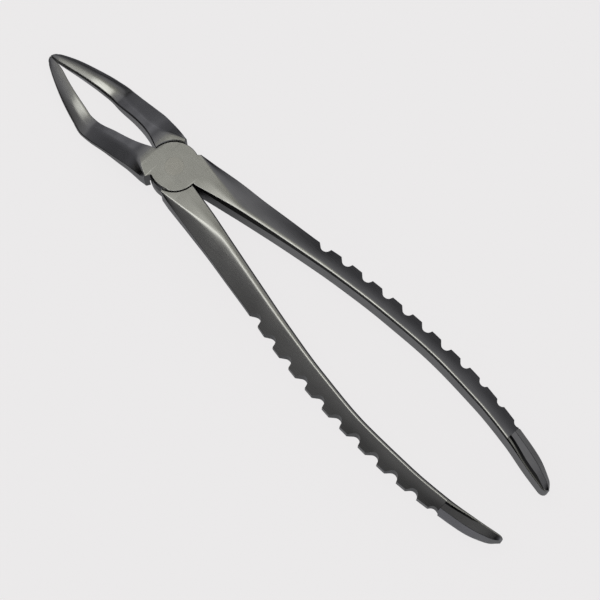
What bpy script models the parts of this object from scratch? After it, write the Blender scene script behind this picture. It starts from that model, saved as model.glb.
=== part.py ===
"""Upper-root extraction forceps of the English bayonet pattern.

Two forged halves lap over each other in a flush joint and turn on one rivet.
Frame: Z is the pivot axis, Z = 0 is the flat back face of the joint, +Y points
to the beak tips, and the beaks drop towards -Z.  Plan sizes are in millimetres
and are turned into metres where vertices are made.
"""
import bisect
import math

import bmesh
import bpy

MM = 0.001
TOP, UNDER = 0, 1

# ---- driving dimensions, mm ------------------------------------------------
JOINT_THICKNESS = 8.4
HALF_THICKNESS = JOINT_THICKNESS / 2
DISC_RADIUS = 6.85
GAP = 0.3
RECESS_RADIUS = DISC_RADIUS + GAP
RIVET_RADIUS = 2.5
EDGE_BREAK = 0.12

HANDLE_SHOULDER_Y = -2.6
DISC_MEETS_HANDLE_Y = -1.9
DISC_MEETS_NECK_Y = 2.65
NECK_SHOULDER_Y = 3.5
HANDLE_END_Y = (-128.8, -129.3)
END_ROUND = 2.0
END_THICKNESS = 0.72
END_TAPER = 2.8
BEAK_TIP_Y = 51.1
TIP_ROUND_Y = 48.5
TIP_CLOSE_Y = 49.3
TIP_THICKNESS = 0.4
BEAK_KINK_Y = 28.3

NOTCH_COUNT = 11
NOTCH_FIRST_Y = (-42.85, -43.9)
NOTCH_PITCH = (6.78, 6.74)
NOTCH_RADIUS = 1.6
PADDLE_START_Y = (-111.9, -112.4)
PADDLE_STEP = 0.06
PADDLE_FADE = 14.0
PADDLE_DEPTH = 0.55
PADDLE_LAND_EXTRA = 0.2
PADDLE_RIDGE_SHARE = 0.36
PADDLE_RIDGE_HEIGHT = 0.78
PADDLE_RIDGE_DROP = 0.4
PADDLE_ROUNDING = 0.25

# ---- plan outlines, mm: (y, distance from the axis on the top half, on the under half) ----
HANDLE_OUTER = ((-2.6, 7.4, 7.4), (-6.0, 8.15, 8.15), (-15.0, 10.0, 9.4), (-23.0, 11.0, 10.4),
                (-31.0, 12.15, 11.6), (-42.0, 13.7, 13.25), (-48.0, 14.85, 14.35),
                (-54.0, 15.6, 15.35), (-67.0, 16.85, 16.75), (-80.0, 17.6, 17.5),
                (-92.0, 17.7, 17.55), (-104.0, 16.75, 16.75), (-114.0, 15.3, 15.35),
                (-121.0, 13.85, 14.0), (-126.0, 11.75, 12.0), (-128.5, 10.3, 10.4))
HANDLE_INNER = ((-7.6, 0.1, 0.1), (-16.0, 1.95, 1.4), (-25.0, 4.0, 3.15), (-38.0, 6.75, 5.7),
                (-52.0, 9.25, 8.4), (-67.0, 11.1, 10.75), (-85.0, 12.2, 12.25),
                (-100.0, 11.65, 11.95), (-112.0, 10.3, 10.95), (-121.0, 8.55, 9.5),
                (-126.0, 7.75, 8.5), (-128.5, 7.4, 8.0))
BEAK_OUTER = ((3.5, 7.8, 7.75), (5.5, 8.25, 8.15), (10.0, 8.55, 8.7), (14.5, 8.8, 9.3),
              (19.0, 8.95, 9.45), (25.0, 9.3, 9.2), (28.3, 9.35, 9.15), (33.0, 8.25, 8.4),
              (38.5, 6.6, 7.1), (44.0, 4.45, 5.3), (48.0, 2.5, 3.4), (50.0, 1.0, 2.0))
BEAK_INNER = ((7.0, 0.05, 0.05), (8.0, 0.35, 0.3), (10.5, 1.3, 1.15), (13.0, 1.9, 1.9),
              (16.5, 2.45, 2.6), (21.0, 2.95, 3.05), (26.5, 3.75, 3.25), (29.5, 3.8, 3.4),
              (33.0, 3.2, 3.1), (37.5, 2.35, 2.45), (42.0, 1.25, 1.7), (44.5, 0.5, 1.15),
              (46.0, 0.12, 0.9), (48.5, -0.12, 0.56), (50.0, -0.14, 0.52))
TIP_X = (-0.1, 0.56)
HANDLE_END_X = (8.9, 8.7)

# ---- heights, (y, mm) -------------------------------------------------------
BEAK_DROP = ((3.3, 0.0), (7.5, 0.0), (10.0, -0.75), (14.0, -3.1), (20.0, -6.6),
             (25.0, -9.5), (28.0, -10.75), (31.0, -10.9), (51.0, -10.9))
BEAK_HALF_THICKNESS = ((3.3, 4.2), (9.0, 4.2), (15.0, 3.75), (20.0, 3.1), (26.0, 2.4),
                       (29.0, 2.05), (34.0, 1.8), (44.0, 1.4), (49.0, 1.1), (51.0, 0.8))
HANDLE_HALF_THICKNESS = ((-129.4, 3.6), (-120.0, 3.9), (-112.0, 4.15), (-90.0, 4.3),
                         (-60.0, 4.3), (-30.0, 4.2), (-2.6, 4.2))

# ---- outer edge of each arm: (y, inset, height, rounding) in mm -------------
HANDLE_EDGE = ((-112.0, 0.1, 1.5, 0.3), (-50.0, 0.1, 1.5, 0.3), (-36.0, 0.15, 1.6, 0.3),
               (-28.0, 0.25, 1.9, 0.3), (-20.0, 0.35, 2.35, 0.3), (-14.0, 0.35, 2.8, 0.25),
               (-8.0, 0.25, 3.4, 0.2), (-2.6, 0.02, 4.1, 0.1))
BEAK_EDGE = ((3.5, 0.1, 3.95, 0.2), (5.0, 0.2, 3.7, 0.3), (8.0, 0.5, 3.0, 0.6),
             (12.0, 0.7, 2.4, 1.0), (20.0, 0.7, 1.9, 1.4), (28.0, 0.6, 1.2, 1.5),
             (36.0, 0.5, 0.95, 1.3), (46.0, 0.35, 0.75, 0.8), (50.0, 0.2, 0.5, 0.3))
NECK_CREASE = ((3.5, 7.4), (5.0, 6.9), (8.0, 5.5), (10.5, 4.6), (14.0, 4.6), (20.0, 5.1),
               (28.0, 5.6), (33.0, 5.1), (38.0, 3.95), (44.0, 2.2), (48.0, 1.0), (50.0, 0.45))
BEAK_INNER_WALL = ((7.0, 4.1), (12.0, 3.9), (20.0, 2.85), (27.0, 1.9), (31.0, 1.4), (44.0, 1.1),
                   (51.0, 0.7))
BEAK_GROOVE = ((7.0, 0.0), (27.0, 0.0), (34.0, 0.35), (44.0, 0.3), (49.0, 0.05), (51.0, 0.0))

ROOT_CREASE_X = 7.15
ROOT_CREASE_SLOPE = 0.135
CREASE_SOFTNESS = 0.8
LAND_WIDTH = 0.95
MAX_LAND_SHARE = 0.4
MAX_RADIUS_SHARE = 0.2
INNER_CREASE_SHARE = 1.3
BEAK_INNER_ROUNDING = 0.2
MIN_BEAK_CREASE = 0.25
MAX_BEAK_CREASE_SHARE = 0.7
MAX_BEAK_INSET_SHARE = 0.3
INNER_EDGE_RADIUS = ((-112.0, 0.4), (-60.0, 0.4), (-20.0, 0.8), (-7.0, 0.5))

# ---- grip notches: (y, depth on the top half, on the under half) in mm -------
NOTCH_DEPTH = ((-112.0, 0.8, 1.1), (-105.0, 1.0, 1.55), (-97.0, 1.25, 1.7), (-85.0, 1.8, 1.7),
               (-43.0, 1.8, 1.6))

# ---- mesh density -----------------------------------------------------------
HANDLE_STATIONS = 34
BEAK_STATIONS = 24
DISC_STATIONS = 20
END_STATIONS = 5
FILLET_POINTS = 4
CYLINDER_SIDES = 64
NOTCH_SIDES = 20
LAST_BEAK_STATION_Y = 48.0
JOINT_MARGIN = 0.6
STEP_WIDTH = 0.02
MIN_SPACING = 0.015
CUTTER_OVERSHOOT = 1.0
SHARP_DEG = 32

# ---- materials --------------------------------------------------------------
HALF_SHADES = (0.1, 0.085)
HALF_ROUGHNESS = 0.38
RIVET_COLOR = (0.14, 0.14, 0.13)
RIVET_ROUGHNESS = 0.35


def blend_through(table, at, column=1):
    """Smooth value through a table of (position, value...) rows."""
    rows = sorted(table)
    keys = [row[0] for row in rows]
    if at <= keys[0]:
        return rows[0][column]
    if at >= keys[-1]:
        return rows[-1][column]
    index = bisect.bisect_right(keys, at) - 1
    width = keys[index + 1] - keys[index]

    def secant(i):
        return (rows[i + 1][column] - rows[i][column]) / (keys[i + 1] - keys[i])

    def tangent(i):
        if i == 0:
            return secant(0)
        if i == len(keys) - 1:
            return secant(i - 1)
        before, after = secant(i - 1), secant(i)
        if before * after <= 0:
            return 0.0
        return 2 * before * after / (before + after)

    t = (at - keys[index]) / width
    start, end = rows[index][column], rows[index + 1][column]
    return ((2 * t**3 - 3 * t**2 + 1) * start + (t**3 - 2 * t**2 + t) * width * tangent(index)
            + (3 * t**2 - 2 * t**3) * end + (t**3 - t**2) * width * tangent(index + 1))


def outline(table, y, half_index):
    return blend_through(table, y, half_index + 1)


def soft_max(first, second, softness):
    return 0.5 * (first + second + math.hypot(first - second, softness))


def disc_x(y):
    return math.sqrt(max(0.0, DISC_RADIUS**2 - y**2))


def closing(y, start, end):
    """1 up to start, then a quarter ellipse down to 0 at end."""
    if (y - start) * (end - start) <= 0:
        return 1.0
    t = min(1.0, (y - start) / (end - start))
    return math.sqrt(max(0.0, 1 - t * t))


def side(x, inward, crease, crease_z, inset, height, rounding, hollow=0.0):
    """Upper half of one edge, from the equator up to the crease, as (x, z) points."""
    equator = (x + inward * hollow, 0.0)
    corner = (x + inward * inset, height)
    top = (x + inward * crease, crease_z)

    def toward(a, b, distance):
        length = math.dist(a, b)
        share = min(distance, 0.9 * length) / max(length, 1e-9)
        return (a[0] + (b[0] - a[0]) * share, a[1] + (b[1] - a[1]) * share)

    low = toward(corner, equator, rounding)
    high = toward(corner, top, rounding)
    points = [equator]
    for step in range(FILLET_POINTS):
        t = step / (FILLET_POINTS - 1)
        weights = ((1 - t)**2, 2 * t * (1 - t), t * t)
        points.append(tuple(sum(w * p[axis] for w, p in zip(weights, (low, corner, high)))
                            for axis in (0, 1)))
    points.append(top)
    return points


def plain_side(x, inward, height):
    return side(x, inward, 3 * EDGE_BREAK, height, 0.0, height, EDGE_BREAK)


def handle_section(y, half_index):
    """Left and right edges of the handle at y, and the height of its mid-plane."""
    end_y = HANDLE_END_Y[half_index]
    paddle_y = PADDLE_START_Y[half_index]
    shrink = closing(y, end_y + END_ROUND, end_y)
    end_x = HANDLE_END_X[half_index]
    outer = end_x + (outline(HANDLE_OUTER, y, half_index) - end_x) * shrink
    inner = end_x + (outline(HANDLE_INNER, y, half_index) - end_x) * shrink
    thinned = END_THICKNESS + (1 - END_THICKNESS) * closing(y, end_y + END_TAPER, end_y)
    half = blend_through(HANDLE_HALF_THICKNESS, y) * thinned
    width = outer - inner
    if y > -DISC_RADIUS:
        left = plain_side(-disc_x(y), 1, half)
    else:
        radius = min(blend_through(INNER_EDGE_RADIUS, y), MAX_RADIUS_SHARE * width)
        left = side(inner, 1, INNER_CREASE_SHARE * radius, half, 0.0, half, radius)
    inset, height, rounding = (blend_through(HANDLE_EDGE, y, column) for column in (1, 2, 3))
    crease_x = soft_max(ROOT_CREASE_X + ROOT_CREASE_SLOPE * (y - HANDLE_SHOULDER_Y), inner + LAND_WIDTH,
                        CREASE_SOFTNESS)
    if y < paddle_y:
        fade = min(1.0, (paddle_y - y) / PADDLE_FADE)
        step = PADDLE_DEPTH * (1 - fade)
        crease = width - min(LAND_WIDTH + PADDLE_LAND_EXTRA, MAX_LAND_SHARE * width)
        ridge_height = PADDLE_RIDGE_HEIGHT * half - PADDLE_RIDGE_DROP * step
        right = side(outer, -1, crease, half - step, PADDLE_RIDGE_SHARE * width, ridge_height,
                     PADDLE_ROUNDING)
    else:
        right = side(outer, -1, outer - crease_x, half, inset, height * half / HALF_THICKNESS, rounding)
    return left, right, 0.0


def joint_section(y, half_index):
    """The disc, with the two short shoulder faces that lead out to the arms."""
    left_x, right_x = -disc_x(y), disc_x(y)
    if y < DISC_MEETS_HANDLE_Y:
        share = (y - HANDLE_SHOULDER_Y) / (DISC_MEETS_HANDLE_Y - HANDLE_SHOULDER_Y)
        shoulder = outline(HANDLE_OUTER, HANDLE_SHOULDER_Y, half_index)
        right_x = shoulder + (disc_x(DISC_MEETS_HANDLE_Y) - shoulder) * share
    if y > DISC_MEETS_NECK_Y:
        share = (y - DISC_MEETS_NECK_Y) / (NECK_SHOULDER_Y - DISC_MEETS_NECK_Y)
        shoulder = outline(BEAK_OUTER, NECK_SHOULDER_Y, half_index)
        left_x = -(disc_x(DISC_MEETS_NECK_Y) + (shoulder - disc_x(DISC_MEETS_NECK_Y)) * share)
    return (plain_side(left_x, 1, HALF_THICKNESS), plain_side(right_x, -1, HALF_THICKNESS), 0.0)


def beak_section(y, half_index):
    """Left and right edges of the neck and beak at y; the beak lies at -X."""
    shrink = closing(y, TIP_CLOSE_Y, BEAK_TIP_Y)
    end_x = TIP_X[half_index]
    outer = end_x + (outline(BEAK_OUTER, y, half_index) - end_x) * shrink
    inner = end_x + (outline(BEAK_INNER, y, half_index) - end_x) * shrink
    scale = TIP_THICKNESS + (1 - TIP_THICKNESS) * closing(y, TIP_ROUND_Y, BEAK_TIP_Y)
    half = blend_through(BEAK_HALF_THICKNESS, y) * scale
    inset, height, rounding = (blend_through(BEAK_EDGE, y, column) for column in (1, 2, 3))
    width = outer - inner
    crease = min(max(outer - blend_through(NECK_CREASE, y), MIN_BEAK_CREASE), MAX_BEAK_CREASE_SHARE * width)
    inset = min(inset, MAX_BEAK_INSET_SHARE * width)
    left = side(-outer, 1, crease, half, inset, height * scale, rounding)
    if y < DISC_RADIUS:
        right = plain_side(disc_x(y), -1, half)
    else:
        wall = blend_through(BEAK_INNER_WALL, y) * scale
        right = side(-inner, -1, MAX_RADIUS_SHARE * width, half, 0.0, wall, BEAK_INNER_ROUNDING,
                     blend_through(BEAK_GROOVE, y))
    return left, right, blend_through(BEAK_DROP, y)


def section_at(y, half_index):
    if y < HANDLE_SHOULDER_Y:
        return handle_section(y, half_index)
    if y <= NECK_SHOULDER_Y:
        return joint_section(y, half_index)
    return beak_section(y, half_index)


def stations(half_index):
    """Every y at which the half has a section, from the handle's end to the beak's tip."""
    end_y = HANDLE_END_Y[half_index]
    paddle_y = PADDLE_START_Y[half_index]
    round_y = end_y + END_ROUND
    places = {paddle_y, paddle_y - PADDLE_STEP, HANDLE_SHOULDER_Y,
              HANDLE_SHOULDER_Y - STEP_WIDTH, DISC_MEETS_HANDLE_Y, DISC_MEETS_NECK_Y, NECK_SHOULDER_Y,
              NECK_SHOULDER_Y + STEP_WIDTH, BEAK_KINK_Y}
    handle_reach = -DISC_RADIUS - JOINT_MARGIN - round_y
    beak_start = DISC_RADIUS + JOINT_MARGIN
    for step in range(HANDLE_STATIONS + 1):
        places.add(round_y + handle_reach * step / HANDLE_STATIONS)
    for step in range(END_STATIONS + 1):
        angle = math.radians(88) * step / END_STATIONS
        places.add(round_y + (end_y - round_y) * math.sin(angle))
        places.add(TIP_ROUND_Y + (BEAK_TIP_Y - TIP_ROUND_Y) * math.sin(angle))
    for step in range(DISC_STATIONS + 1):
        angle = math.radians(-90 + 180 * step / DISC_STATIONS)
        places.add(DISC_RADIUS * math.sin(angle))
    for step in range(BEAK_STATIONS + 1):
        places.add(beak_start + (LAST_BEAK_STATION_Y - beak_start) * step / BEAK_STATIONS)
    ordered = sorted(places)
    kept = [ordered[0]]
    for place in ordered[1:]:
        if place - kept[-1] > MIN_SPACING:
            kept.append(place)
    return kept


def section_loop(y, half_index):
    """One closed section as (x, y, z) in metres, anticlockwise seen from the handle's end."""
    left, right, shift = section_at(y, half_index)
    upper = right + left[::-1]
    lower = [(x, -z) for x, z in left[1:]] + [(x, -z) for x, z in right[:0:-1]]
    middle = HALF_THICKNESS + shift
    return [(x * MM, y * MM, (middle + z) * MM) for x, z in upper + lower]


def forged_blank(name, half_index):
    """The whole half before its joint is cut: handle, full-thickness disc, neck and beak."""
    mesh = bmesh.new()
    rings = []
    for y in stations(half_index):
        loop = section_loop(y, half_index)
        if half_index == UNDER:
            loop = [(-x, along, z) for x, along, z in loop]
        rings.append([mesh.verts.new(point) for point in loop])
    count = len(rings[0])
    for first, second in zip(rings, rings[1:]):
        for index in range(count):
            following = (index + 1) % count
            mesh.faces.new((first[index], first[following], second[following], second[index]))
    mesh.faces.new(rings[0])
    mesh.faces.new(rings[-1])
    bmesh.ops.recalc_face_normals(mesh, faces=mesh.faces)
    data = bpy.data.meshes.new(name)
    mesh.to_mesh(data)
    mesh.free()
    return bpy.data.objects.new(name, data)


def cylinder(name, radius, low, high):
    """Closed cylinder on the pivot axis between two heights, mm."""
    mesh = bmesh.new()
    bmesh.ops.create_cone(mesh, cap_ends=True, segments=CYLINDER_SIDES, radius1=radius * MM,
                          radius2=radius * MM, depth=(high - low) * MM)
    bmesh.ops.translate(mesh, verts=mesh.verts, vec=(0, 0, (low + high) / 2 * MM))
    data = bpy.data.meshes.new(name)
    mesh.to_mesh(data)
    mesh.free()
    return bpy.data.objects.new(name, data)


def notch_cutters(name, half_index):
    """All the grip notches of one handle: upright cylinders set into its outer edge."""
    mesh = bmesh.new()
    side_sign = -1 if half_index == UNDER else 1
    height = JOINT_THICKNESS + 4 * CUTTER_OVERSHOOT
    for index in range(NOTCH_COUNT):
        y = NOTCH_FIRST_Y[half_index] - NOTCH_PITCH[half_index] * index
        lean = outline(HANDLE_OUTER, y + 0.5, half_index) - outline(HANDLE_OUTER, y - 0.5, half_index)
        depth = outline(NOTCH_DEPTH, y, half_index)
        reach = (NOTCH_RADIUS - depth) / math.hypot(lean, 1.0)
        centre = ((outline(HANDLE_OUTER, y, half_index) + reach) * side_sign, y - reach * lean)
        made = bmesh.ops.create_cone(mesh, cap_ends=True, segments=NOTCH_SIDES, depth=height * MM,
                                     radius1=NOTCH_RADIUS * MM, radius2=NOTCH_RADIUS * MM)
        bmesh.ops.translate(mesh, verts=made["verts"],
                            vec=(centre[0] * MM, centre[1] * MM, HALF_THICKNESS * MM))
    data = bpy.data.meshes.new(name)
    mesh.to_mesh(data)
    mesh.free()
    return bpy.data.objects.new(name, data)


def cut(target, cutter):
    modifier = target.modifiers.new("cut_" + cutter.name, "BOOLEAN")
    modifier.operation = "DIFFERENCE"
    modifier.solver = "EXACT"
    modifier.object = cutter


def steel(name, color, roughness):
    material = bpy.data.materials.new(name)
    material.use_nodes = True
    shader = material.node_tree.nodes["Principled BSDF"]
    shader.inputs["Base Color"].default_value = (*color, 1)
    shader.inputs["Metallic"].default_value = 1.0
    shader.inputs["Roughness"].default_value = roughness
    return material


def finish(thing, material, collection):
    thing.data.materials.append(material)
    thing.data.shade_smooth()
    thing.data.set_sharp_from_angle(angle=math.radians(SHARP_DEG))
    collection.objects.link(thing)


def hide_cutter(thing, collection):
    thing.hide_render = True
    thing.display_type = "WIRE"
    collection.objects.link(thing)


def build():
    for thing in list(bpy.data.objects):
        bpy.data.objects.remove(thing, do_unlink=True)
    parts = bpy.data.collections.new("extraction_forceps")
    cutters = bpy.data.collections.new("cutters")
    for collection in (parts, cutters):
        bpy.context.scene.collection.children.link(collection)

    low, high = -CUTTER_OVERSHOOT, JOINT_THICKNESS + CUTTER_OVERSHOOT
    bore = cylinder("rivet_bore", RIVET_RADIUS + GAP, low, high)
    below = cylinder("recess_below", RECESS_RADIUS, low, HALF_THICKNESS + GAP / 2)
    above = cylinder("recess_above", RECESS_RADIUS, HALF_THICKNESS - GAP / 2, high)
    for name, half_index, recess in (("top_half", TOP, below), ("under_half", UNDER, above)):
        shade = HALF_SHADES[half_index]
        half = forged_blank(name, half_index)
        notches = notch_cutters(name + "_notches", half_index)
        for cutter in (recess, bore, notches):
            cut(half, cutter)
        finish(half, steel(name + "_steel", (shade, shade, shade), HALF_ROUGHNESS), parts)
        hide_cutter(notches, cutters)
    for cutter in (bore, below, above):
        hide_cutter(cutter, cutters)

    rivet = cylinder("pivot_rivet", RIVET_RADIUS, 0.0, JOINT_THICKNESS)
    finish(rivet, steel("rivet_steel", RIVET_COLOR, RIVET_ROUGHNESS), parts)


build()
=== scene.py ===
"""Visual model of the extraction forceps: two forged halves and a flush rivet.

The pieces are built in the frame's own axes.  Z is the pivot axis, Z = 0 the back
face of the joint, +Y points to the beak tips.  Sizes are in millimetres until a
mesh is made, and the top half's handle lies at +X.
"""
import bisect
import math

import bmesh
import bpy
from mathutils import Matrix, Vector


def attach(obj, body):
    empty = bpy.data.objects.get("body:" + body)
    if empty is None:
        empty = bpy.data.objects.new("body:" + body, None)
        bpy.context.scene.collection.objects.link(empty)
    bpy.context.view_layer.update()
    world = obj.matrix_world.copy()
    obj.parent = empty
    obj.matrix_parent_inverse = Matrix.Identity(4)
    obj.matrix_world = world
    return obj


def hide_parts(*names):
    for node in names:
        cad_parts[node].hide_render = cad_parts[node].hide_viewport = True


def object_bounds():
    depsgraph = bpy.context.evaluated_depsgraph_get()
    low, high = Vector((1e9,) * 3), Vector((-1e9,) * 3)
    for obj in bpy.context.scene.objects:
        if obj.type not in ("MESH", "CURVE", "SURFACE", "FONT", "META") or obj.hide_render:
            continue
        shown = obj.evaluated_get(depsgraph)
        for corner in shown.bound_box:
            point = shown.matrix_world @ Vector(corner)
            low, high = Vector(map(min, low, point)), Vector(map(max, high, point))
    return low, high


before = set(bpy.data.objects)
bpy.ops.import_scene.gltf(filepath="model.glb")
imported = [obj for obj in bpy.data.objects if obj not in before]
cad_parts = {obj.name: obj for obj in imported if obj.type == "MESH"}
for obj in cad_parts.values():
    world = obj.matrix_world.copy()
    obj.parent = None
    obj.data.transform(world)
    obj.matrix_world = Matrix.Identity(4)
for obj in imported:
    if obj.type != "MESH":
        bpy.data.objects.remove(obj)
cad_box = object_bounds()

MM = 0.001
TOP, UNDER = 0, 1
TINY = 1e-9

# ---- joint ------------------------------------------------------------------
JOINT_THICKNESS = 8.4
HALF_THICKNESS = JOINT_THICKNESS / 2
DISC_RADIUS = 6.85
RECESS_RADIUS = 7.12
RECESS_FLARE = 0.22
DISC_GAP = 0.1
NECK_GAP_EXTRA = 0.1
RIVET_RADIUS = 2.55
RIVET_CLEARANCE = 0.005
RIVET_EDGE_BREAK = 0.01
EDGE_BREAK = 0.16
HANDLE_SHOULDER_Y = -2.6
DISC_MEETS_HANDLE_Y = -1.9
DISC_MEETS_NECK_Y = 2.65
NECK_SHOULDER_Y = 3.5
HANDLE_SHOULDER_DROP = 0.6
NECK_SHOULDER_DROP = 1.0
SHOULDER_INSET = 0.35
JOINT_ROUNDING = 0.02
FACE_ROUNDING = 0.1
# Shares of the way across the flat face at which it has its middle points.
DISC_FACE_AT = (0.35, 0.65)
# Chamfer of the disc's rim: (y, mm).
RIM_BREAK = ((-6.8, 0.14), (-4.0, 0.16), (-2.5, 0.55), (2.3, 0.55), (4.0, 0.16), (6.8, 0.14))

# ---- handle ends and beak tips; pairs are (top half, under half) ------------
HANDLE_END_Y = (-128.65, -129.15)
HANDLE_END_X = (8.9, 8.7)
END_ROUND = 2.0
END_THICKNESS = 0.9
BEAK_TIP_Y = 51.1
TIP_X = (-0.2, 0.35)
TIP_ROUND_Y = 48.5
TIP_CLOSE_Y = 49.3
TIP_THICKNESS = 0.4

# ---- grip notches; pairs are (top half, under half) -------------------------
NOTCH_COUNT = 11
NOTCH_FIRST_Y = (-42.85, -43.9)
NOTCH_PITCH = (6.78, 6.74)
NOTCH_RADIUS = (1.35, 1.55)
NOTCH_DEPTH = ((-112.0, 0.8, 1.1), (-105.0, 1.0, 1.6), (-97.0, 1.25, 1.85), (-85.0, 1.8, 1.95),
               (-43.0, 1.8, 1.9))
NOTCH_SHIFT = 0.35
NOTCH_STEEP_DEG = 72
NOTCH_RAMP_DEG = 48
NOTCH_REACH = 3.0
NOTCH_SLOPE_SPAN = 1.0

# ---- plan outlines: (y, distance from the axis on the top half, on the under half) ----
HANDLE_OUTER = ((-2.6, 7.4, 7.4), (-6.0, 8.15, 8.15), (-15.0, 10.0, 9.4), (-23.0, 11.0, 10.4),
                (-31.0, 12.15, 11.6), (-42.0, 13.7, 13.25), (-48.0, 14.85, 14.35),
                (-54.0, 15.6, 15.35), (-67.0, 16.85, 16.75), (-80.0, 17.6, 17.5),
                (-92.0, 17.7, 17.55), (-104.0, 16.75, 16.75), (-114.0, 15.3, 15.35),
                (-121.0, 13.85, 14.0), (-126.0, 11.75, 12.0), (-128.5, 10.3, 10.4))
HANDLE_INNER = ((-7.6, 0.1, 0.1), (-16.0, 1.95, 1.4), (-25.0, 4.0, 3.15), (-38.0, 6.75, 5.7),
                (-52.0, 9.25, 8.4), (-67.0, 11.1, 10.75), (-85.0, 12.2, 12.25),
                (-100.0, 11.65, 11.95), (-112.0, 10.3, 10.95), (-121.0, 8.55, 9.5),
                (-126.0, 7.75, 8.5), (-128.5, 7.4, 8.0))
BEAK_OUTER = ((3.5, 7.8, 7.75), (5.5, 8.25, 8.15), (10.0, 8.55, 8.7), (14.5, 8.8, 9.3),
              (19.0, 8.95, 9.45), (25.0, 9.3, 9.5), (28.3, 9.35, 9.45), (33.0, 8.25, 8.65),
              (38.5, 6.6, 7.1), (44.0, 4.45, 5.3), (48.0, 2.6, 3.5), (50.0, 1.5, 2.4))
BEAK_INNER = ((7.0, 0.05, 0.05), (8.0, 0.35, 0.3), (10.5, 1.3, 1.15), (13.0, 1.9, 1.9),
              (16.5, 2.45, 2.6), (21.0, 2.95, 3.05), (26.5, 3.75, 3.25), (29.5, 3.8, 3.4),
              (33.0, 3.2, 3.1), (37.5, 2.35, 2.42), (42.0, 1.25, 1.6), (44.5, 0.5, 1.08),
              (46.0, 0.1, 0.8), (48.5, -0.2, 0.38), (50.0, -0.22, 0.3))

# ---- heights: (y, mm) -------------------------------------------------------
BEAK_DROP = ((3.3, 0.0), (6.5, 0.0), (8.0, -0.12), (10.0, -0.75), (14.0, -3.1), (20.0, -6.6),
             (25.0, -9.4), (28.0, -10.6), (31.0, -10.88), (38.0, -10.62), (45.0, -10.7),
             (51.0, -10.9))
BEAK_HALF_THICKNESS = ((3.3, 4.2), (9.0, 4.2), (15.0, 3.75), (20.0, 3.1), (26.0, 2.4),
                       (29.0, 2.0), (36.0, 1.88), (44.0, 1.42), (49.0, 1.1), (51.0, 0.8))
HANDLE_HALF_THICKNESS = ((-129.4, 3.6), (-120.0, 3.9), (-112.0, 4.15), (-90.0, 4.3),
                         (-60.0, 4.3), (-30.0, 4.2), (-2.6, 4.2))

# ---- outer edges: (y, inset, height, rounding) ------------------------------
HANDLE_EDGE = ((-112.0, 0.1, 1.5, 0.12), (-50.0, 0.1, 1.5, 0.12), (-36.0, 0.15, 1.6, 0.15),
               (-28.0, 0.2, 1.8, 0.15), (-20.0, 0.25, 2.1, 0.15), (-14.0, 0.25, 2.4, 0.15),
               (-8.0, 0.2, 3.1, 0.15), (-5.0, 0.1, 3.5, 0.1), (-2.6, 0.02, 3.8, 0.05))
BEAK_EDGE = ((3.5, 0.02, 3.0, 0.05), (5.0, 0.1, 2.8, 0.1), (8.0, 0.15, 2.4, 0.15),
             (12.0, 0.2, 1.9, 0.15), (17.0, 0.25, 1.3, 0.2), (28.0, 0.25, 0.75, 0.25),
             (36.0, 0.2, 0.55, 0.25), (46.0, 0.15, 0.5, 0.25), (50.0, 0.1, 0.4, 0.2))

# ---- inner edges and the land beside them: (y, top half, under half) --------
LAND_WIDTH = ((-130.0, 0.55, 0.55), (-69.0, 0.6, 0.7), (-53.0, 0.75, 1.0), (-42.0, 0.9, 1.3),
              (-25.0, 1.0, 1.5), (-2.6, 1.0, 1.0))
LAND_CROWN = ((-117.0, 0.0, 0.0), (-112.0, 0.05, 0.06), (-60.0, 0.05, 0.07), (-45.0, 0.045, 0.08),
              (-30.0, 0.035, 0.09), (-20.0, 0.06, 0.07), (-14.0, 0.07, 0.04), (-8.0, 0.0, 0.0))
INNER_CHAMFER = ((-119.0, 0.15, 0.15), (-112.5, 0.42, 0.4), (-60.0, 0.5, 0.42), (-38.0, 0.66, 0.42),
                 (-28.0, 0.85, 0.4), (-20.0, 0.95, 0.35), (-14.0, 0.75, 0.3), (-7.6, 0.3, 0.2))
BEAK_INNER_CHAMFER = ((7.0, 0.1, 0.12), (9.0, 0.1, 0.35), (16.0, 0.1, 0.42), (26.0, 0.1, 0.45),
                      (32.0, 0.15, 0.55), (44.0, 0.15, 0.5), (50.0, 0.15, 0.3))
INNER_ROUNDING = 0.12
MAX_EDGE_SHARE = 0.25
LAND_MIDDLE_ROUNDING = 0.6

# ---- crease and flank of the handle: (y, mm) --------------------------------
CREASE_ROUNDING = ((-112.0, 0.9), (-70.0, 1.2), (-45.0, 1.5), (-28.0, 1.5), (-20.0, 0.8),
                   (-12.0, 0.4), (-2.6, 0.1))
ROOT_CREASE_X = 7.15
ROOT_CREASE_SLOPE = 0.135
CREASE_SOFTNESS = 0.8
CREASE_CROWN_SHARE = 0.8
FLANK_BULGE = 0.12
FLANK_BULGE_AT = 0.6
FLANK_ROUNDING = 2.0

# ---- faces of the neck and beak: (y, mm) ------------------------------------
NECK_CREASE = ((3.5, 7.4), (5.0, 6.9), (8.0, 5.5), (10.5, 4.6), (14.0, 4.6), (20.0, 5.1),
               (28.0, 5.6), (33.0, 5.1), (38.0, 3.95), (44.0, 2.2), (48.0, 1.0), (50.0, 0.45))
NECK_CREASE_ROUNDING = ((3.5, 0.15), (6.0, 0.6), (12.0, 1.2), (26.0, 1.2), (30.0, 0.9), (50.0, 0.3))
NECK_FACE_AT = (0.35, 0.7)
NECK_EDGE_ROUNDING = 0.08
BEAK_WALL_HOLLOW = ((7.0, 0.0), (26.0, 0.0), (36.0, 0.4), (44.0, 0.35), (49.0, 0.05), (51.0, 0.0))
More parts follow.
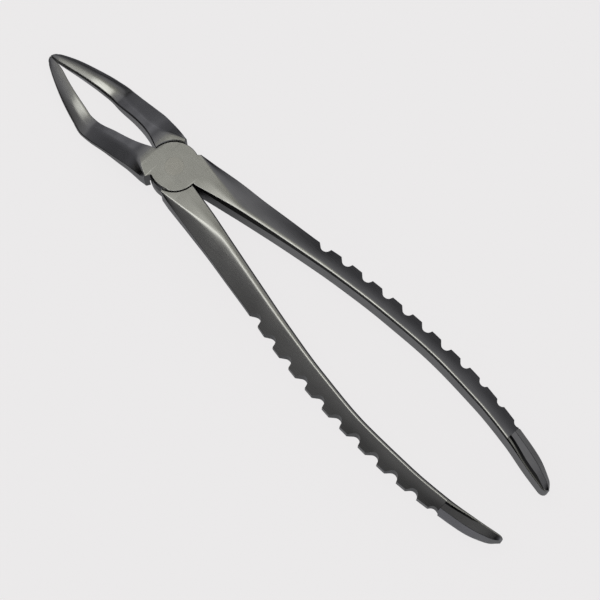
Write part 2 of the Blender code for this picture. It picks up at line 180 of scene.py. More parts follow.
# Level beak of each half: (share of the width, share of the height).
BEAK_CROWN = (((0.26, 0.62), (0.45, 0.82), (0.84, 1.0), (1.0, 1.0)),
              ((0.26, 0.8), (0.5, 1.0), (0.74, 0.94), (1.0, 0.86)))
BEAK_CROWN_ROUNDING = 0.7
BEAK_LEVEL_Y = (25.0, 31.0)
BEAK_CHAMFER_LIMIT = 0.6
MIN_BEAK_CREASE = 0.25
MAX_BEAK_CREASE_SHARE = 0.7
MAX_BEAK_INSET_SHARE = 0.3

# ---- paddle; pairs are (top half, under half) -------------------------------
PADDLE_START_Y = (-111.9, -112.4)
PADDLE_STEP = 0.05
PADDLE_DEPTH = 0.6
PADDLE_FADE = (16.0, 10.0)
PADDLE_RIDGE = (0.74, 0.66)
PADDLE_RIDGE_SHARE = 0.36
PADDLE_RIDGE_DROP = 0.3
PADDLE_RIDGE_ROUNDING = 0.15
PADDLE_OUTER_INSET = 0.02
PADDLE_OUTER_HEIGHT = 0.05
PADDLE_OUTER_ROUNDING = 0.2
PADDLE_LAND_TAPER = 0.6
PADDLE_FOOT_LIMIT = 0.6
PADDLE_FOOT_ROUNDING = 0.05
PADDLE_WALL_ROUNDING = 0.08
SLIT_WIDTH = (0.78, 0.5)
SLIT_TAPER = 4

# ---- painted shade in the notches, slit, disc rim and crotch, 0 to 1, and where it lies ---
NOTCH_SHADE = 0.7
RIM_SHADE = 0.9
SHOULDER_SHADE = 0.55
SLIT_SHADE = 1.0
PADDLE_LAND_SHADE = (0.85, 0.25)
# Least and greatest distance of a notch's wall from the handle's outline.
NOTCH_WALL = (0.06, 2.2)
RIM_SHADE_Y = (DISC_MEETS_HANDLE_Y - 0.1, NECK_SHOULDER_Y + 0.01)
RIM_WIDTH = 0.35
# painted shade on the handle's inner wall fades in between these y and is full towards the crotch
CROTCH_SHADE_FADE_Y = (-34.0, -11.0)
CROTCH_WALL_WIDTH = 0.9
SHADE_MARGIN = 0.03
MIN_SLIT_DEPTH = 0.02
# Largest upward part of a face's normal that still counts as a wall.
NOTCH_WALL_NORMAL = 0.02
RIM_NORMAL = 0.6
CROTCH_NORMAL = 0.85

# ---- mesh density and margins -----------------------------------------------
FILLET_POINTS = 7
HANDLE_STATIONS = 150
BEAK_STATIONS = 110
DISC_STATIONS = 56
END_STATIONS = 18
LAST_STATION_DEG = 89
NOTCH_POINTS = 13
CYLINDER_SIDES = 192
STEP_WIDTH = 0.02
MIN_SPACING = 0.012
JOINT_MARGIN = 0.3
TIP_MARGIN = 0.1
CORNER_LIMIT = 0.48
CUTTER_OVERSHOOT = 1.0
SHARP_DEG = 30
NORMAL_WEIGHT = 50


def blend_through(table, at, column=1):
    """Smooth monotone value through a table of (position, value...) rows."""
    rows = sorted(table)
    keys = [row[0] for row in rows]
    if at <= keys[0]:
        return rows[0][column]
    if at >= keys[-1]:
        return rows[-1][column]
    index = bisect.bisect_right(keys, at) - 1
    width = keys[index + 1] - keys[index]

    def secant(i):
        return (rows[i + 1][column] - rows[i][column]) / (keys[i + 1] - keys[i])

    def tangent(i):
        if i == 0:
            return secant(0)
        if i == len(keys) - 1:
            return secant(i - 1)
        before, after = secant(i - 1), secant(i)
        if before * after <= 0:
            return 0.0
        return 2 * before * after / (before + after)

    t = (at - keys[index]) / width
    start, end = rows[index][column], rows[index + 1][column]
    return ((2 * t**3 - 3 * t**2 + 1) * start + (t**3 - 2 * t**2 + t) * width * tangent(index)
            + (3 * t**2 - 2 * t**3) * end + (t**3 - t**2) * width * tangent(index + 1))


def outline(table, y, half_index):
    """Value at y of a table that has one column for each half."""
    return blend_through(table, y, half_index + 1)


def mix(first, second, share):
    return first + (second - first) * share


def soft_max(first, second, softness):
    """The larger of two values, with a rounded change from one to the other."""
    return 0.5 * (first + second + math.hypot(first - second, softness))


def disc_x(y):
    """Half the width of the disc at y."""
    return math.sqrt(max(0.0, DISC_RADIUS**2 - y**2))


def closing(y, start, end):
    """1 up to start, then a quarter ellipse down to 0 at end."""
    if (y - start) * (end - start) <= 0:
        return 1.0
    t = min(1.0, (y - start) / (end - start))
    return math.sqrt(max(0.0, 1 - t * t))


def rounded_path(start, corners, end):
    """Polyline through rounded corners (x, z, rounding); every corner gives FILLET_POINTS."""
    spots = [start] + [corner[:2] for corner in corners] + [end]
    points = [start]
    for index, (x, z, rounding) in enumerate(corners, start=1):
        here = (x, z)
        trimmed = []
        for other in (spots[index - 1], spots[index + 1]):
            length = math.dist(here, other)
            share = min(rounding, CORNER_LIMIT * length) / max(length, TINY)
            trimmed.append((mix(x, other[0], share), mix(z, other[1], share)))
        for step in range(FILLET_POINTS):
            t = step / (FILLET_POINTS - 1)
            weights = ((1 - t)**2, 2 * t * (1 - t), t * t)
            bend = (trimmed[0], here, trimmed[1])
            points.append(tuple(sum(weight * spot[axis] for weight, spot in zip(weights, bend))
                                for axis in (0, 1)))
    return points + [end]


def paddle_slit(y, half_index, land_start, land):
    """Depth of the paddle's step at y, and the two sides of the slit beside the land."""
    fade = min(1.0, (PADDLE_START_Y[half_index] - y) / PADDLE_FADE[half_index])
    wall = land_start + land * (1 - PADDLE_LAND_TAPER * fade)
    width = SLIT_WIDTH[half_index] * min(1.0, SLIT_TAPER * (1 - fade))
    return PADDLE_DEPTH * (1 - fade), wall, wall + width


def handle_section(y, half_index):
    """Upper half of the handle's section, from its outer side to its inner side."""
    end_y = HANDLE_END_Y[half_index]
    shrink = closing(y, end_y + END_ROUND, end_y)
    end_x = HANDLE_END_X[half_index]
    outer = end_x + (outline(HANDLE_OUTER, y, half_index) - end_x) * shrink
    inner = end_x + (outline(HANDLE_INNER, y, half_index) - end_x) * shrink
    half = blend_through(HANDLE_HALF_THICKNESS, y) * mix(END_THICKNESS, 1.0, shrink)
    if y > -DISC_RADIUS:
        inner = -disc_x(y)
        chamfer = blend_through(RIM_BREAK, y)
    else:
        chamfer = outline(INNER_CHAMFER, y, half_index)
    width = outer - inner
    chamfer = min(chamfer, MAX_EDGE_SHARE * width)
    land = min(outline(LAND_WIDTH, y, half_index), MAX_EDGE_SHARE * width)
    crown = outline(LAND_CROWN, y, half_index)
    edge = ((inner + chamfer, half - crown, INNER_ROUNDING),
            (inner, half - chamfer, INNER_ROUNDING))
    if y < PADDLE_START_Y[half_index]:
        step, wall, foot = paddle_slit(y, half_index, inner + chamfer, land)
        ridge = outer - PADDLE_RIDGE_SHARE * width
        ridge_height = half * PADDLE_RIDGE[half_index] - PADDLE_RIDGE_DROP * step
        foot = min(foot, mix(wall, ridge, PADDLE_FOOT_LIMIT))
        corners = ((outer - PADDLE_OUTER_INSET * width, PADDLE_OUTER_HEIGHT * half,
                    PADDLE_OUTER_ROUNDING),
                   (ridge, ridge_height, PADDLE_RIDGE_ROUNDING),
                   (foot, half - step, PADDLE_FOOT_ROUNDING),
                   (wall, half, PADDLE_WALL_ROUNDING))
        return (outer, 0.0), corners + edge, (inner, 0.0), 0.0
    inset, height, rounding = (blend_through(HANDLE_EDGE, y, column) for column in (1, 2, 3))
    crease_x = soft_max(ROOT_CREASE_X + ROOT_CREASE_SLOPE * (y - HANDLE_SHOULDER_Y),
                        inner + chamfer + land, CREASE_SOFTNESS)
    corner = (outer - inset, height * half / HALF_THICKNESS)
    middle = (mix(corner[0], crease_x, FLANK_BULGE_AT),
              mix(corner[1], half, FLANK_BULGE_AT) + FLANK_BULGE)
    corners = ((*corner, rounding), (*middle, FLANK_ROUNDING),
               (crease_x, half - CREASE_CROWN_SHARE * crown, blend_through(CREASE_ROUNDING, y)),
               (mix(inner + chamfer, crease_x, 0.5), half, LAND_MIDDLE_ROUNDING))
    return (outer, 0.0), corners + edge, (inner, 0.0), 0.0


def joint_section(y, half_index):
    """The disc, with the two short shoulder faces that lead out to the arms."""
    handle_share = max(0.0, (DISC_MEETS_HANDLE_Y - y) / (DISC_MEETS_HANDLE_Y - HANDLE_SHOULDER_Y))
    neck_share = max(0.0, (y - DISC_MEETS_NECK_Y) / (NECK_SHOULDER_Y - DISC_MEETS_NECK_Y))
    outer, inner = disc_x(y), -disc_x(y)
    if handle_share > 0:
        shoulder = outline(HANDLE_OUTER, HANDLE_SHOULDER_Y, half_index)
        outer = mix(disc_x(DISC_MEETS_HANDLE_Y), shoulder, handle_share)
    if neck_share > 0:
        shoulder = outline(BEAK_OUTER, NECK_SHOULDER_Y, half_index)
        inner = -mix(disc_x(DISC_MEETS_NECK_Y), shoulder, neck_share)
    rim = blend_through(RIM_BREAK, y)
    top = HALF_THICKNESS
    corners = ((outer, top - mix(EDGE_BREAK, HANDLE_SHOULDER_DROP, handle_share), JOINT_ROUNDING),
               (outer - mix(EDGE_BREAK, SHOULDER_INSET, handle_share), top, JOINT_ROUNDING),
               (mix(outer, inner, DISC_FACE_AT[0]), top, FACE_ROUNDING),
               (mix(outer, inner, DISC_FACE_AT[1]), top, FACE_ROUNDING),
               (inner + mix(rim, SHOULDER_INSET, neck_share), top, JOINT_ROUNDING),
               (inner, top - mix(rim, NECK_SHOULDER_DROP, neck_share), JOINT_ROUNDING))
    return (outer, 0.0), corners, (inner, 0.0), 0.0


def beak_section(y, half_index):
    """Upper half of the neck's or beak's section; the outer side lies at -X."""
    shrink = closing(y, TIP_CLOSE_Y, BEAK_TIP_Y)
    end_x = TIP_X[half_index]
    outer = end_x + (outline(BEAK_OUTER, y, half_index) - end_x) * shrink
    inner = end_x + (outline(BEAK_INNER, y, half_index) - end_x) * shrink
    chamfer = outline(BEAK_INNER_CHAMFER, y, half_index)
    if y < DISC_RADIUS:
        inner = -disc_x(y)
        chamfer = EDGE_BREAK
    scale = mix(TIP_THICKNESS, 1.0, closing(y, TIP_ROUND_Y, BEAK_TIP_Y))
    half = blend_through(BEAK_HALF_THICKNESS, y) * scale
    inset, edge_height, rounding = (blend_through(BEAK_EDGE, y, column) for column in (1, 2, 3))
    width = outer - inner
    chamfer = min(chamfer, MAX_EDGE_SHARE * width, BEAK_CHAMFER_LIMIT * half)
    crease = max(outer - blend_through(NECK_CREASE, y), MIN_BEAK_CREASE)
    crease_x = outer - min(crease, MAX_BEAK_CREASE_SHARE * width)
    neck = ((crease_x, half, blend_through(NECK_CREASE_ROUNDING, y)),
            (mix(crease_x, inner + chamfer, NECK_FACE_AT[0]), half, FACE_ROUNDING),
            (mix(crease_x, inner + chamfer, NECK_FACE_AT[1]), half, FACE_ROUNDING),
            (inner + chamfer, half, NECK_EDGE_ROUNDING))
    level = tuple((outer - across * width, height * half, BEAK_CROWN_ROUNDING)
                  for across, height in BEAK_CROWN[half_index][:3])
    level += ((inner + chamfer, BEAK_CROWN[half_index][3][1] * half, FACE_ROUNDING),)
    levelled = min(1.0, max(0.0, (y - BEAK_LEVEL_Y[0]) / (BEAK_LEVEL_Y[1] - BEAK_LEVEL_Y[0])))
    levelled = levelled * levelled * (3 - 2 * levelled)  # smooth start and end
    blended = tuple(tuple(mix(a, b, levelled) for a, b in zip(first, second))
                    for first, second in zip(neck, level))
    edge_x = outer - min(inset, MAX_BEAK_INSET_SHARE * width)
    corners = ((edge_x, edge_height * scale, rounding),) + blended
    corners += ((inner, blended[-1][1] - chamfer, FACE_ROUNDING),)
    mirrored = tuple((-x, z, r) for x, z, r in corners)
    hollow = blend_through(BEAK_WALL_HOLLOW, y)
    return (-outer, 0.0), mirrored, (-inner - hollow, 0.0), blend_through(BEAK_DROP, y)


def upper_profile(y, half_index):
    """Points over the top of the section from +X to -X, and the shift of its mid-plane."""
    if y > NECK_SHOULDER_Y:
        start, corners, end, shift = beak_section(y, half_index)
        return rounded_path(start, corners, end)[::-1], shift
    section = handle_section if y < HANDLE_SHOULDER_Y else joint_section
    start, corners, end, shift = section(y, half_index)
    return rounded_path(start, corners, end), shift


def stations(half_index):
    """Every y at which a half has a section, from the handle's end to the beak's tip."""
    end_y = HANDLE_END_Y[half_index]
    paddle_y = PADDLE_START_Y[half_index]
    round_y = end_y + END_ROUND
    places = {paddle_y, paddle_y - PADDLE_STEP, HANDLE_SHOULDER_Y, HANDLE_SHOULDER_Y - STEP_WIDTH,
              DISC_MEETS_HANDLE_Y, DISC_MEETS_NECK_Y, NECK_SHOULDER_Y, NECK_SHOULDER_Y + STEP_WIDTH}
    for step in range(HANDLE_STATIONS + 1):
        places.add(mix(round_y, -DISC_RADIUS - JOINT_MARGIN, step / HANDLE_STATIONS))
    for step in range(END_STATIONS + 1):
        angle = math.radians(LAST_STATION_DEG) * step / END_STATIONS
        places.add(mix(round_y, end_y, math.sin(angle)))
        places.add(mix(TIP_ROUND_Y, BEAK_TIP_Y, math.sin(angle)))
    for step in range(DISC_STATIONS + 1):
        angle = math.radians(-90 + 180 * step / DISC_STATIONS)
        places.add(DISC_RADIUS * math.sin(angle))
    for step in range(BEAK_STATIONS + 1):
        places.add(mix(DISC_RADIUS + JOINT_MARGIN, TIP_ROUND_Y - TIP_MARGIN, step / BEAK_STATIONS))
    ordered = sorted(places)
    kept = [ordered[0]]
    for place in ordered[1:]:
        if place - kept[-1] > MIN_SPACING:
            kept.append(place)
    return kept


def section_loop(y, half_index):
    """One closed section as (x, y, z) in metres."""
    upper, shift = upper_profile(y, half_index)
    lower = [(x, -z) for x, z in upper[-2:0:-1]]
    middle = HALF_THICKNESS + shift
    sign = -1 if half_index == UNDER else 1
    return [(sign * x * MM, y * MM, (middle + z) * MM) for x, z in upper + lower]


def new_object(name, mesh):
    """Turns a bmesh into an object of the scene, with its faces turned outwards."""
    bmesh.ops.recalc_face_normals(mesh, faces=mesh.faces)
    data = bpy.data.meshes.new(name)
    mesh.to_mesh(data)
    mesh.free()
    thing = bpy.data.objects.new(name, data)
    bpy.context.scene.collection.objects.link(thing)
    return thing


def skin(mesh, loops):
    """Closes a solid over loops of points that all have the same number of points."""
    rings = [[mesh.verts.new(point) for point in loop] for loop in loops]
    count = len(rings[0])
    for first, second in zip(rings, rings[1:]):
        for index in range(count):
            following = (index + 1) % count
            mesh.faces.new((first[index], first[following], second[following], second[index]))
    mesh.faces.new(rings[0])
    mesh.faces.new(rings[-1])


def forged_blank(name, half_index):
    """The whole half before its joint and notches are cut."""
    mesh = bmesh.new()
    skin(mesh, [section_loop(y, half_index) for y in stations(half_index)])
    return new_object(name, mesh)


def turned(name, profile):
    """Closed solid of revolution about the pivot axis from (radius, height) rows in mm."""
    angles = [math.tau * side / CYLINDER_SIDES for side in range(CYLINDER_SIDES)]
    mesh = bmesh.new()
    skin(mesh, [[(radius * MM * math.cos(angle), radius * MM * math.sin(angle), height * MM)
                 for angle in angles] for radius, height in profile])
    return new_object(name, mesh)


def notch_outline(depth, radius):
    """Notch seen from above as (along, out): along runs to the joint, out leaves the handle."""
    steep, ramp = math.radians(NOTCH_STEEP_DEG), math.radians(NOTCH_RAMP_DEG)
    points = []
    for step in range(NOTCH_POINTS):
        angle = mix(1.5 * math.pi - steep, 1.5 * math.pi + ramp, step / (NOTCH_POINTS - 1))
        points.append((radius * math.cos(angle), radius * (1 + math.sin(angle)) - depth))
    first, last = points[0], points[-1]
    start = (first[0] - NOTCH_REACH * math.cos(steep), first[1] + NOTCH_REACH * math.sin(steep))
    end = (last[0] + NOTCH_REACH * math.cos(ramp), last[1] + NOTCH_REACH * math.sin(ramp))
    return [start] + points + [end]


def notch_cutters(name, half_index):
    """All the grip notches of one handle, as upright prisms across its outer edge."""
    mesh = bmesh.new()
    sign = -1 if half_index == UNDER else 1
    for index in range(NOTCH_COUNT):
        y = NOTCH_FIRST_Y[half_index] - NOTCH_PITCH[half_index] * index
        nearer, farther = (outline(HANDLE_OUTER, y + shift * NOTCH_SLOPE_SPAN, half_index)
                           for shift in (0.5, -0.5))
        along = Vector((nearer - farther, NOTCH_SLOPE_SPAN)).normalized()
        out = Vector((along.y, -along.x))
        base = Vector((outline(HANDLE_OUTER, y, half_index), y)) - along * NOTCH_SHIFT
        shape = notch_outline(outline(NOTCH_DEPTH, y, half_index), NOTCH_RADIUS[half_index])
        spots = [base + along * a + out * o for a, o in shape]
        skin(mesh, [[(sign * spot.x * MM, spot.y * MM, height * MM) for spot in spots]
                    for height in (-2 * CUTTER_OVERSHOOT, JOINT_THICKNESS + 2 * CUTTER_OVERSHOOT)])
    return new_object(name, mesh)


def cut(target, *cutters):
    """Takes the cutters out of the target, applied to its mesh."""
    for cutter in cutters:
        modifier = target.modifiers.new(cutter.name, "BOOLEAN")
        modifier.operation = "DIFFERENCE"
        modifier.solver = "MANIFOLD"
        modifier.object = cutter
    bpy.context.view_layer.update()
    graph = bpy.context.evaluated_depsgraph_get()
    data = bpy.data.meshes.new_from_object(target.evaluated_get(graph))
    target.modifiers.clear()
    target.data = data


def joint_shade(x, y, upright):
    """Painted shade of a face at the joint: the disc's rim and the neck's shoulder face."""
    beside = x < 0 and RIM_SHADE_Y[0] < y < RIM_SHADE_Y[1]
    if not beside or upright > RIM_NORMAL or math.hypot(x, y) < DISC_RADIUS - RIM_WIDTH:
        return 0.0
    return SHOULDER_SHADE if y > DISC_MEETS_NECK_Y else RIM_SHADE


def paddle_shade(x, y, upright, inner, half_index):
    """Painted shade of a face on the paddle: the slit, and the land between it and the inner edge.
    """
    if y > PADDLE_START_Y[half_index] - PADDLE_STEP:
        return 0.0
    land_start = inner + outline(INNER_CHAMFER, y, half_index)
    step, wall, foot = paddle_slit(y, half_index, land_start, outline(LAND_WIDTH, y, half_index))
    if step > MIN_SLIT_DEPTH and wall - SHADE_MARGIN < x < foot + SHADE_MARGIN:
        return SLIT_SHADE
    return PADDLE_LAND_SHADE[half_index] if x < foot and upright > RIM_NORMAL else 0.0


def paint_shade(thing, half_index):
    """Paints shade into the notches, slit, disc rim and the narrow crotch, fading in towards the
    crotch.
    """
    shade_marks = thing.data.attributes.new("painted_shade", "FLOAT", "CORNER")
    last_y = NOTCH_FIRST_Y[half_index] - NOTCH_PITCH[half_index] * (NOTCH_COUNT - 1)
    side = -1 if half_index == UNDER else 1
    for face in thing.data.polygons:
        x, y, upright = face.center.x * side / MM, face.center.y / MM, abs(face.normal.z)
        if y > -DISC_RADIUS:
            for loop in face.loop_indices:
                shade_marks.data[loop].value = joint_shade(x, y, upright)
            continue
        outer = outline(HANDLE_OUTER, y, half_index)
        inner = outline(HANDLE_INNER, y, half_index)
        # painted shade on the notch walls
        in_notch = (last_y - NOTCH_REACH < y < NOTCH_FIRST_Y[half_index] + NOTCH_REACH
                    and upright < NOTCH_WALL_NORMAL and NOTCH_WALL[0] < outer - x < NOTCH_WALL[1])
        on_inner_wall = x < inner + CROTCH_WALL_WIDTH and upright < CROTCH_NORMAL
        # painted shade on the paddle's slit and land
        paddle_shading = paddle_shade(x, y, upright, inner, half_index)
        for loop in face.loop_indices:
            along = thing.data.vertices[thing.data.loops[loop].vertex_index].co.y / MM
            share = (along - CROTCH_SHADE_FADE_Y[0]) / (CROTCH_SHADE_FADE_Y[1] - CROTCH_SHADE_FADE_Y[0])
            share = min(1.0, max(0.0, share)) * on_inner_wall
            shade_marks.data[loop].value = NOTCH_SHADE if in_notch else max(paddle_shading, share)


def finish_surface(thing):
    """Smooth shading that keeps real edges and flat faces."""
    thing.data.shade_smooth()
    thing.data.set_sharp_from_angle(angle=math.radians(SHARP_DEG))
    weighted = thing.modifiers.new("flat_faces", "WEIGHTED_NORMAL")
    weighted.mode = "FACE_AREA"
    weighted.weight = NORMAL_WEIGHT
    weighted.keep_sharp = True


# ---- materials --------------------------------------------------------------
STEEL = (0.34, 0.34, 0.335)
RIVET_STEEL = (0.365, 0.36, 0.35)
# painted shade: near-black colour multiplied into the steel in the notches, slit, disc rim and
# crotch
PAINTED_SHADE_TINT = (0.12, 0.12, 0.12)
GLANCING_TINT = (0.62, 0.62, 0.62)
STEEL_ROUGHNESS = 0.27
RIVET_ROUGHNESS = 0.25
ROUGHNESS_SPREAD = (-0.03, 0.04)
GRAIN_ALONG = (1.0, 0.08, 1.0)
GRAIN_EVEN = (1.0, 1.0, 1.0)
GRAIN_SCALE = 2600
MOTTLE_SCALE = 380
CLOUD_SCALE = 90
NOISE_ROUGHNESS = 0.6
RAMP_ENDS = (0.35, 0.65)
GRAIN_RANGE = (0.3, 0.7)
CLOUD_TINTS = (0.94, 1.06)
MOTTLE_TINTS = ((0.93, 0.93, 0.93), (1.0, 1.0, 1.0))
MOTTLE_STRENGTH = 0.6
BUMP_STRENGTH = 0.08
BUMP_DEPTH_M = 0.00002
# Sockets of the colour mix node, whose names repeat for each type of data.
MIX_FIRST, MIX_SECOND, MIX_RESULT = 6, 7, 2


def node(tree, kind, **settings):
    """New shader node with its own settings."""
    made = tree.nodes.new(kind)
    for key, value in settings.items():
        setattr(made, key, value)
    return made


def set_inputs(made, **values):
    """Values for the inputs of a node; an underscore stands for a space in a name."""
    for key, value in values.items():
        made.inputs[key.replace("_", " ")].default_value = value


def satin_steel(name, color, roughness, grain_axis):
    """Dark satin steel: fine grain along the piece, faint mottling, a slight change of tint, and
    painted shade from the mesh's shade attribute.
    """
    material = bpy.data.materials.new(name)
    material.use_nodes = True
    tree = material.node_tree
    shader = tree.nodes["Principled BSDF"]
    shader.inputs["Metallic"].default_value = 1.0
    shader.inputs["Specular Tint"].default_value = (*GLANCING_TINT, 1)
    place = node(tree, "ShaderNodeTexCoord")

    def noise(scale, detail, stretch=(1, 1, 1)):
        mapping = node(tree, "ShaderNodeMapping")
        mapping.inputs["Scale"].default_value = stretch
        tree.links.new(place.outputs["Object"], mapping.inputs["Vector"])
        made = node(tree, "ShaderNodeTexNoise")
        set_inputs(made, Scale=scale, Detail=detail, Roughness=NOISE_ROUGHNESS)
        tree.links.new(mapping.outputs["Vector"], made.inputs["Vector"])
        return made.outputs["Fac"]

    def ramp(source, ends):
        made = node(tree, "ShaderNodeValToRGB")
        for element, position, tint in zip(made.color_ramp.elements, RAMP_ENDS, ends):
            element.position = position
            element.color = (*tint, 1)
        tree.links.new(source, made.inputs["Fac"])
        return made.outputs["Color"]

    mottle = noise(MOTTLE_SCALE, 4)
    cloudy = noise(CLOUD_SCALE, 2)
    grain = noise(GRAIN_SCALE, 3, grain_axis)
    cloud_colors = [tuple(channel * tint for channel in color) for tint in CLOUD_TINTS]
    mottled = node(tree, "ShaderNodeMix", data_type="RGBA", blend_type="MULTIPLY")
    mottled.inputs["Factor"].default_value = MOTTLE_STRENGTH
    tree.links.new(ramp(cloudy, cloud_colors), mottled.inputs[MIX_FIRST])
    tree.links.new(ramp(mottle, MOTTLE_TINTS), mottled.inputs[MIX_SECOND])
    # painted shade from the mesh attribute darkens the steel's colour
    shade_marks = node(tree, "ShaderNodeAttribute", attribute_name="painted_shade")
    shade_mix = node(tree, "ShaderNodeMix", data_type="RGBA", blend_type="MULTIPLY")
    tree.links.new(shade_marks.outputs["Fac"], shade_mix.inputs["Factor"])
    tree.links.new(mottled.outputs[MIX_RESULT], shade_mix.inputs[MIX_FIRST])
    shade_mix.inputs[MIX_SECOND].default_value = (*PAINTED_SHADE_TINT, 1)
    tree.links.new(shade_mix.outputs[MIX_RESULT], shader.inputs["Base Color"])
    rough = node(tree, "ShaderNodeMapRange")
    set_inputs(rough, From_Min=GRAIN_RANGE[0], From_Max=GRAIN_RANGE[1],
               To_Min=roughness + ROUGHNESS_SPREAD[0], To_Max=roughness + ROUGHNESS_SPREAD[1])
    tree.links.new(grain, rough.inputs["Value"])
    tree.links.new(rough.outputs["Result"], shader.inputs["Roughness"])
    bump = node(tree, "ShaderNodeBump")
    set_inputs(bump, Strength=BUMP_STRENGTH, Distance=BUMP_DEPTH_M)
    tree.links.new(grain, bump.inputs["Height"])
    tree.links.new(bump.outputs["Normal"], shader.inputs["Normal"])
    return material


top_steel = satin_steel("satin_steel_top", STEEL, STEEL_ROUGHNESS, GRAIN_ALONG)
under_steel = satin_steel("satin_steel_under", STEEL, STEEL_ROUGHNESS, GRAIN_ALONG)
rivet_steel = satin_steel("satin_steel_rivet", RIVET_STEEL, RIVET_ROUGHNESS, GRAIN_EVEN)

# ---- pieces -----------------------------------------------------------------
bore = turned("bore", [(RIVET_RADIUS, -CUTTER_OVERSHOOT),
                       (RIVET_RADIUS, JOINT_THICKNESS + CUTTER_OVERSHOOT)])
flared_radius = RECESS_RADIUS + RECESS_FLARE + CUTTER_OVERSHOOT
below = turned("recess_below", [(flared_radius, -CUTTER_OVERSHOOT),
                                (RECESS_RADIUS, RECESS_FLARE),
                                (RECESS_RADIUS, HALF_THICKNESS + DISC_GAP / 2)])
above = turned("recess_above", [(RECESS_RADIUS, HALF_THICKNESS - DISC_GAP / 2),
                                (RECESS_RADIUS, JOINT_THICKNESS - RECESS_FLARE),
                                (flared_radius, JOINT_THICKNESS + CUTTER_OVERSHOOT)])
neck_shift = Vector((0.0, NECK_GAP_EXTRA * MM, 0.0))
above.data.transform(Matrix.Translation(neck_shift))
pieces = {}
for name, half_index, recess, material in (("top_half", TOP, below, top_steel),
                                           ("under_half", UNDER, above, under_steel)):
    piece = forged_blank(name + "_forging", half_index)
    notches = notch_cutters(name + "_notches", half_index)
    cut(piece, recess, bore, notches)
    bpy.data.objects.remove(notches, do_unlink=True)
    piece.data.materials.clear()
    piece.data.materials.append(material)
    # painted shade in the notches, slit, disc rim and crotch
    paint_shade(piece, half_index)
    finish_surface(piece)
    pieces[name] = piece
for cutter in (bore, below, above):
    bpy.data.objects.remove(cutter, do_unlink=True)

radius = RIVET_RADIUS - RIVET_CLEARANCE
rivet = turned("pivot_rivet_head", [(radius - RIVET_EDGE_BREAK, 0.0),
                                    (radius, RIVET_EDGE_BREAK),
                                    (radius, JOINT_THICKNESS - RIVET_EDGE_BREAK),
                                    (radius - RIVET_EDGE_BREAK, JOINT_THICKNESS)])
rivet.data.materials.append(rivet_steel)
finish_surface(rivet)
pieces["pivot_rivet"] = rivet

for name, piece in pieces.items():
    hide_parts(name)
    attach(piece, "under" if name == "under_half" else "top")


# ---- stage, light and camera ------------------------------------------------
FLOOR_SIZE_M = 12.0
FLOOR_BELOW_M = 0.0004
FLOOR_COLOR = (1.0, 0.985, 0.99)
FLOOR_GLOW = 0.79
FLOOR_BASE = (0.1, 0.1, 0.1)
KEY_AIM = (-0.13, 0.14, 0.98)
KEY_DISTANCE = 1.2
KEY_DIAMETER = 0.42
KEY_RADIANCE = 0.5
ELEVATION, AZIMUTH = math.radians(75.5), math.radians(-44.3)
CAMERA_PLACE = (-0.09215, -0.14183, 0.50914)
LENS_MM, SENSOR_MM = 120.0, 36.0
CLIP_START_M = 0.01

# (aim, edge in degrees from the aim, full strength in degrees, radiance, tint)
SURROUNDINGS = (
    ((0.0, 0.0, 1.0), 76, 52, 0.20, (1.0, 0.99, 1.0)),
    ((0.17, 0.15, 0.97), 30, 12, 0.27, (1.06, 1.05, 0.82)),
    (KEY_AIM, 18, 6, 2.1, (1.02, 1.02, 0.95)),
    ((0.8, 0.0, 0.6), 36, 18, 0.17, (0.96, 0.96, 1.06)),
    ((0.0, 0.9, 0.43), 45, 25, 0.17, (0.96, 0.96, 1.06)),
    ((0.6, 0.72, -0.35), 40, 22, 0.16, (0.96, 0.96, 1.06)),
    ((-0.95, -0.1, -0.28), 28, 14, 0.34, (0.96, 0.96, 1.06)),
    ((0.1, -1.0, 0.12), 58, 25, 0.42, (0.97, 0.97, 1.04)),
    ((0.15, 1.0, -0.42), 30, 12, 0.3, (0.97, 0.97, 1.04)),
    ((0.0, 0.0, -1.0), 70, 58, 0.38, (0.99, 0.99, 1.03)),
)


def emissive(name, color, strength, base):
    """Dull surface with a glow of its own, for the pale table."""
    material = bpy.data.materials.new(name)
    material.use_nodes = True
    shader = material.node_tree.nodes["Principled BSDF"]
    shader.inputs["Base Color"].default_value = (*base, 1)
    shader.inputs["Roughness"].default_value = 1.0
    shader.inputs["Specular IOR Level"].default_value = 0.0
    shader.inputs["Emission Color"].default_value = (*color, 1)
    shader.inputs["Emission Strength"].default_value = strength
    return material


def plane(name, size, height):
    """Square in the XY plane, centred on the pivot axis; sizes in metres."""
    mesh = bmesh.new()
    bmesh.ops.create_grid(mesh, x_segments=1, y_segments=1, size=size / 2)
    bmesh.ops.translate(mesh, verts=mesh.verts, vec=(0, 0, height))
    return new_object(name, mesh)


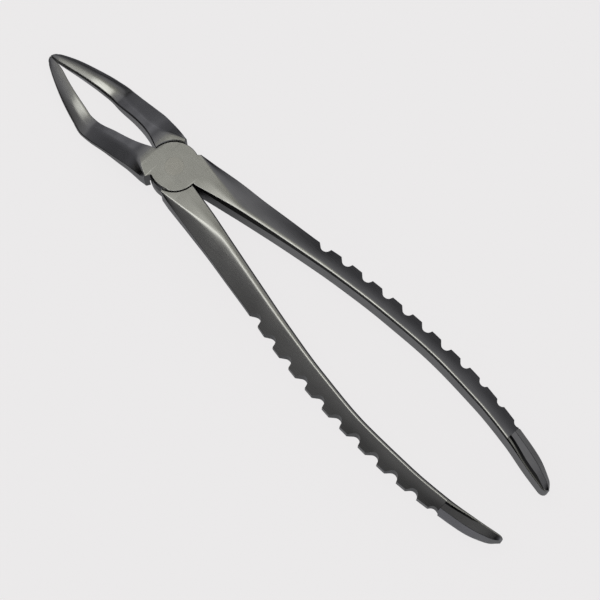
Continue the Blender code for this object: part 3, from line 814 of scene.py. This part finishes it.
def studio_world():
    """Soft studio surroundings: an overhead diffuser, a dim room and a pale table below."""
    world = bpy.data.worlds.new("soft_studio")
    bpy.context.scene.world = world
    world.use_nodes = True
    tree = world.node_tree
    background = tree.nodes["Background"]
    direction = node(tree, "ShaderNodeTexCoord").outputs["Generated"]
    total = None
    for aim, start_deg, full_deg, radiance, tint in SURROUNDINGS:
        facing = node(tree, "ShaderNodeVectorMath", operation="DOT_PRODUCT")
        tree.links.new(direction, facing.inputs[0])
        facing.inputs[1].default_value = Vector(aim).normalized()
        patch = node(tree, "ShaderNodeMapRange", interpolation_type="SMOOTHSTEP")
        set_inputs(patch, From_Min=math.cos(math.radians(start_deg)),
                   From_Max=math.cos(math.radians(full_deg)))
        tree.links.new(facing.outputs["Value"], patch.inputs["Value"])
        tinted = node(tree, "ShaderNodeVectorMath", operation="SCALE")
        tinted.inputs[0].default_value = [radiance * channel for channel in tint]
        tree.links.new(patch.outputs["Result"], tinted.inputs["Scale"])
        if total is None:
            total = tinted.outputs["Vector"]
        else:
            added = node(tree, "ShaderNodeVectorMath", operation="ADD")
            tree.links.new(total, added.inputs[0])
            tree.links.new(tinted.outputs["Vector"], added.inputs[1])
            total = added.outputs["Vector"]
    tree.links.new(total, background.inputs["Color"])


floor = plane("floor", FLOOR_SIZE_M, cad_box[0][2] - FLOOR_BELOW_M)
floor.data.materials.append(emissive("pale_floor", FLOOR_COLOR, FLOOR_GLOW, FLOOR_BASE))
floor.visible_glossy = False
studio_world()

key_aim = Vector(KEY_AIM).normalized()
key_data = bpy.data.lights.new("key_softbox", "AREA")
key_data.shape = "DISK"
key_data.size = KEY_DIAMETER
key_data.energy = KEY_RADIANCE * math.pi * math.pi * (KEY_DIAMETER / 2)**2
key = bpy.data.objects.new("key_softbox", key_data)
bpy.context.scene.collection.objects.link(key)
key_turn = key_aim.to_track_quat("Z", "Y").to_matrix().to_4x4()
key.matrix_world = Matrix.Translation(key_aim * KEY_DISTANCE) @ key_turn
key.visible_camera = False

right = Vector((math.cos(AZIMUTH), math.sin(AZIMUTH), 0.0))
toward = Vector((math.sin(AZIMUTH) * math.cos(ELEVATION), -math.cos(AZIMUTH) * math.cos(ELEVATION),
                 math.sin(ELEVATION)))
up = toward.cross(right)
camera_data = bpy.data.cameras.new("camera")
camera_data.lens = LENS_MM
camera_data.sensor_width = SENSOR_MM
camera_data.clip_start = CLIP_START_M
camera = bpy.data.objects.new("camera", camera_data)
bpy.context.scene.collection.objects.link(camera)
pose = Matrix((right, up, toward)).transposed().to_4x4()
pose.translation = Vector(CAMERA_PLACE)
camera.matrix_world = pose
bpy.context.scene.camera = camera
bpy.context.scene.view_settings.view_transform = "Standard"
